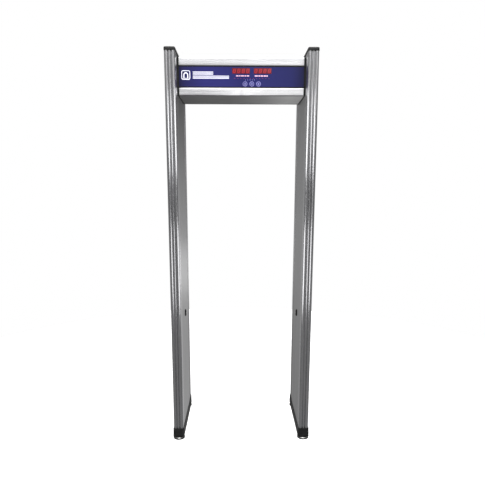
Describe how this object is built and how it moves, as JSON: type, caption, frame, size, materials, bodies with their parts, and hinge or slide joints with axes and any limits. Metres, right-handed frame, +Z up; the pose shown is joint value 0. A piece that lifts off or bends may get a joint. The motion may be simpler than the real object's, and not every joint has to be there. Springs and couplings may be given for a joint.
{
  "type": "walk-through metal detector gate",
  "caption": "Walk-through metal detector gate with two deep coil panels, a control header with displays and keys between them, and disc levelling feet.",
  "frame": {"origin": "on the floor, at the middle of the passage and of the panels' depth", "axes": "+Z up, +X to the right as seen from the display side, +Y from the display side towards the rear"},
  "size_m": [0.828, 0.516, 2.23],
  "materials": {
    "column_aluminium": "brushed and clear anodised",
    "skin_aluminium": "brushed sheet, vertical grain",
    "former_board": "raw board",
    "coil_copper": "enamelled copper wire",
    "cap_plastic": "fine moulded texture",
    "foot_rubber": "moulded rubber, satin rim",
    "zinc_steel": "zinc plated",
    "sensor_plastic": "satin black",
    "infrared_lens": "infrared filter plastic",
    "circuit_board": "solder mask",
    "cable_jacket": "flexible jacket",
    "rail_aluminium": "bright brushed, fine ribs",
    "fascia_blue": "printed polycarbonate",
    "gasket_black": "black gasket",
    "window_red": "tinted acrylic",
    "display_red": "lit display block",
    "lamp_red": "lamp resin",
    "lamp_lilac": "lamp resin",
    "button_lilac": "moulded button",
    "component_black": "moulded component",
    "header_sheet": "grey satin powder coat",
    "end_plate_black": "black powder coat",
    "standoff_brass": "turned",
    "supply_cage": "plated sheet",
    "rocker_red": "moulded rocker"
  },
  "bodies": {
    "gate": {"left_front_column": "column_aluminium", "right_front_column": "column_aluminium", "left_rear_column": "column_aluminium", "right_rear_column": "column_aluminium", "left_inner_skin": "skin_aluminium", "right_inner_skin": "skin_aluminium", "left_outer_skin": "skin_aluminium", "right_outer_skin": "skin_aluminium", "left_coil_former": "former_board", "right_coil_former": "former_board", "transmit_coil": "coil_copper", "receive_coils": "coil_copper", "left_top_cap": "cap_plastic", "right_top_cap": "cap_plastic", "left_base_rail": "cap_plastic", "right_base_rail": "cap_plastic", "left_front_boot": "cap_plastic", "right_front_boot": "cap_plastic", "left_rear_boot": "cap_plastic", "right_rear_boot": "cap_plastic", "foot_lock_nuts": "zinc_steel", "left_sensor_bezel": "sensor_plastic", "right_sensor_bezel": "sensor_plastic", "sensor_lenses": "infrared_lens", "sensor_boards": "circuit_board", "clamp_plates": "zinc_steel", "coil_leads": "cable_jacket", "upper_front_rail": "rail_aluminium", "lower_front_rail": "rail_aluminium", "fascia_panel": "fascia_blue", "fascia_gasket": "gasket_black", "display_windows": "window_red", "display_modules": "display_red", "signal_lamps": "lamp_red", "status_lamps": "lamp_lilac", "display_board": "circuit_board", "key_switches": "component_black", "bottom_pan": "header_sheet", "top_cover": "header_sheet", "rear_panel": "header_sheet", "left_end_plate": "end_plate_black", "right_end_plate": "end_plate_black", "control_board": "circuit_board", "board_components": "component_black", "display_ribbon": "cable_jacket", "board_standoffs": "standoff_brass", "power_supply": "supply_cage", "alarm_sounder": "component_black", "mains_inlet": "sensor_plastic", "switch_housing": "sensor_plastic", "header_bolts": "zinc_steel", "cover_screws": "zinc_steel"},
    "left_button": {"left_button": "button_lilac"},
    "middle_button": {"middle_button": "button_lilac"},
    "right_button": {"right_button": "button_lilac"},
    "power_rocker": {"power_rocker": "rocker_red"},
    "left_front_foot": {"left_front_foot": "foot_rubber"},
    "right_front_foot": {"right_front_foot": "foot_rubber"},
    "left_rear_foot": {"left_rear_foot": "foot_rubber"},
    "right_rear_foot": {"right_rear_foot": "foot_rubber"}
  },
  "joints": [
    {"name": "left_button_press", "type": "slide", "parent": "gate", "child": "left_button", "axis": [0, 1, 0], "range_m": [0, 0.0012], "stiffness_N_per_m": 1200, "springref_m": -0.0004},
    {"name": "middle_button_press", "type": "slide", "parent": "gate", "child": "middle_button", "axis": [0, 1, 0], "range_m": [0, 0.0012], "stiffness_N_per_m": 1200, "springref_m": -0.0004},
    {"name": "right_button_press", "type": "slide", "parent": "gate", "child": "right_button", "axis": [0, 1, 0], "range_m": [0, 0.0012], "stiffness_N_per_m": 1200, "springref_m": -0.0004},
    {"name": "power_rocker_tilt", "type": "hinge", "parent": "gate", "child": "power_rocker", "pos_m": [0.165, 0.149, 2.075], "axis": [1, 0, 0], "range_deg": [-14, 0]},
    {"name": "left_front_foot_height", "type": "slide", "parent": "gate", "child": "left_front_foot", "axis": [0, 0, -1], "range_m": [0, 0.02]},
    {"name": "right_front_foot_height", "type": "slide", "parent": "gate", "child": "right_front_foot", "axis": [0, 0, -1], "range_m": [0, 0.02]},
    {"name": "left_rear_foot_height", "type": "slide", "parent": "gate", "child": "left_rear_foot", "axis": [0, 0, -1], "range_m": [0, 0.02]},
    {"name": "right_rear_foot_height", "type": "slide", "parent": "gate", "child": "right_rear_foot", "axis": [0, 0, -1], "range_m": [0, 0.02]}
  ]
}
